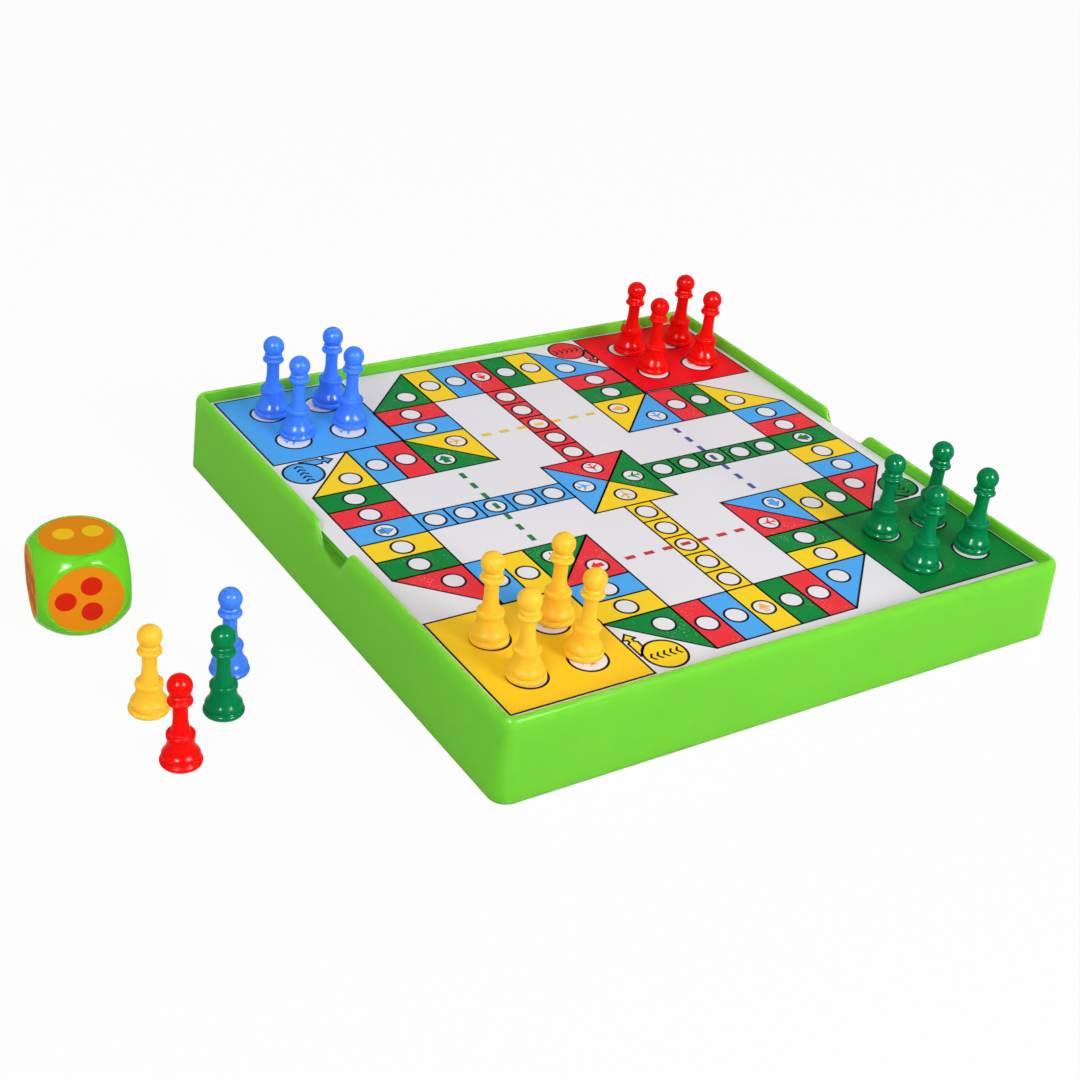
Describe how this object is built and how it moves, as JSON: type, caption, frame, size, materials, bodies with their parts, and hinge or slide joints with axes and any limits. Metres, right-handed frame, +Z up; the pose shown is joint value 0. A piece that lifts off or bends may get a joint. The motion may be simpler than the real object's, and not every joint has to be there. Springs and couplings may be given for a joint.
{
  "type": "ludo board",
  "caption": "Square ludo board in a shallow moulded casing, with a lift-out printed board, turned pawns and a rounded die.",
  "frame": {"origin": "under the middle of the casing, on the plane it rests on, where its two ribs cross", "axes": "+Z up, +X from the yellow corner to the green one, away from the spare pieces, +Y from the yellow corner to the blue one"},
  "size_m": [0.2973, 0.2134, 0.053],
  "materials": {
    "casing_green": "glossy moulded, apple green",
    "board_green": "moulded plate, apple green",
    "printed_paper": "satin print on white",
    "pawn_yellow": "glossy moulded",
    "pawn_blue": "glossy moulded",
    "pawn_red": "glossy moulded",
    "pawn_green": "glossy moulded",
    "die_green": "glossy moulded",
    "die_sticker": "satin printed sticker"
  },
  "bodies": {
    "casing": {"casing": "casing_green"},
    "playing_board": {"board_core": "board_green", "printed_sheet": "printed_paper"},
    "yellow_pawn_1": {"yellow_pawn_1": "pawn_yellow"},
    "yellow_pawn_2": {"yellow_pawn_2": "pawn_yellow"},
    "yellow_pawn_3": {"yellow_pawn_3": "pawn_yellow"},
    "yellow_pawn_4": {"yellow_pawn_4": "pawn_yellow"},
    "blue_pawn_1": {"blue_pawn_1": "pawn_blue"},
    "blue_pawn_2": {"blue_pawn_2": "pawn_blue"},
    "blue_pawn_3": {"blue_pawn_3": "pawn_blue"},
    "blue_pawn_4": {"blue_pawn_4": "pawn_blue"},
    "red_pawn_1": {"red_pawn_1": "pawn_red"},
    "red_pawn_2": {"red_pawn_2": "pawn_red"},
    "red_pawn_3": {"red_pawn_3": "pawn_red"},
    "red_pawn_4": {"red_pawn_4": "pawn_red"},
    "green_pawn_1": {"green_pawn_1": "pawn_green"},
    "green_pawn_2": {"green_pawn_2": "pawn_green"},
    "green_pawn_3": {"green_pawn_3": "pawn_green"},
    "green_pawn_4": {"green_pawn_4": "pawn_green"},
    "yellow_spare_pawn": {"yellow_spare_pawn": "pawn_yellow"},
    "blue_spare_pawn": {"blue_spare_pawn": "pawn_blue"},
    "red_spare_pawn": {"red_spare_pawn": "pawn_red"},
    "green_spare_pawn": {"green_spare_pawn": "pawn_green"},
    "die": {"die_body": "die_green", "die_sticker_1": "die_sticker", "die_sticker_2": "die_sticker", "die_sticker_3": "die_sticker", "die_sticker_4": "die_sticker", "die_sticker_5": "die_sticker", "die_sticker_6": "die_sticker"}
  },
  "joints": [
    {"name": "board_lift", "type": "slide", "parent": "casing", "child": "playing_board", "axis": [0, 0, 1], "range_m": [0, 0.04]},
    {"name": "yellow_pawn_1_lift", "type": "slide", "parent": "playing_board", "child": "yellow_pawn_1", "axis": [0, 0, 1], "range_m": [0, 0.04]},
    {"name": "yellow_pawn_2_lift", "type": "slide", "parent": "playing_board", "child": "yellow_pawn_2", "axis": [0, 0, 1], "range_m": [0, 0.04]},
    {"name": "yellow_pawn_3_lift", "type": "slide", "parent": "playing_board", "child": "yellow_pawn_3", "axis": [0, 0, 1], "range_m": [0, 0.04]},
    {"name": "yellow_pawn_4_lift", "type": "slide", "parent": "playing_board", "child": "yellow_pawn_4", "axis": [0, 0, 1], "range_m": [0, 0.04]},
    {"name": "blue_pawn_1_lift", "type": "slide", "parent": "playing_board", "child": "blue_pawn_1", "axis": [0, 0, 1], "range_m": [0, 0.04]},
    {"name": "blue_pawn_2_lift", "type": "slide", "parent": "playing_board", "child": "blue_pawn_2", "axis": [0, 0, 1], "range_m": [0, 0.04]},
    {"name": "blue_pawn_3_lift", "type": "slide", "parent": "playing_board", "child": "blue_pawn_3", "axis": [0, 0, 1], "range_m": [0, 0.04]},
    {"name": "blue_pawn_4_lift", "type": "slide", "parent": "playing_board", "child": "blue_pawn_4", "axis": [0, 0, 1], "range_m": [0, 0.04]},
    {"name": "red_pawn_1_lift", "type": "slide", "parent": "playing_board", "child": "red_pawn_1", "axis": [0, 0, 1], "range_m": [0, 0.04]},
    {"name": "red_pawn_2_lift", "type": "slide", "parent": "playing_board", "child": "red_pawn_2", "axis": [0, 0, 1], "range_m": [0, 0.04]},
    {"name": "red_pawn_3_lift", "type": "slide", "parent": "playing_board", "child": "red_pawn_3", "axis": [0, 0, 1], "range_m": [0, 0.04]},
    {"name": "red_pawn_4_lift", "type": "slide", "parent": "playing_board", "child": "red_pawn_4", "axis": [0, 0, 1], "range_m": [0, 0.04]},
    {"name": "green_pawn_1_lift", "type": "slide", "parent": "playing_board", "child": "green_pawn_1", "axis": [0, 0, 1], "range_m": [0, 0.04]},
    {"name": "green_pawn_2_lift", "type": "slide", "parent": "playing_board", "child": "green_pawn_2", "axis": [0, 0, 1], "range_m": [0, 0.04]},
    {"name": "green_pawn_3_lift", "type": "slide", "parent": "playing_board", "child": "green_pawn_3", "axis": [0, 0, 1], "range_m": [0, 0.04]},
    {"name": "green_pawn_4_lift", "type": "slide", "parent": "playing_board", "child": "green_pawn_4", "axis": [0, 0, 1], "range_m": [0, 0.04]},
    {"name": "yellow_spare_pawn_lift", "type": "slide", "parent": "casing", "child": "yellow_spare_pawn", "axis": [0, 0, 1], "range_m": [0, 0.04]},
    {"name": "blue_spare_pawn_lift", "type": "slide", "parent": "casing", "child": "blue_spare_pawn", "axis": [0, 0, 1], "range_m": [0, 0.04]},
    {"name": "red_spare_pawn_lift", "type": "slide", "parent": "casing", "child": "red_spare_pawn", "axis": [0, 0, 1], "range_m": [0, 0.04]},
    {"name": "green_spare_pawn_lift", "type": "slide", "parent": "casing", "child": "green_spare_pawn", "axis": [0, 0, 1], "range_m": [0, 0.04]},
    {"name": "die_lift", "type": "slide", "parent": "casing", "child": "die", "axis": [0, 0, 1], "range_m": [0, 0.04]}
  ]
}
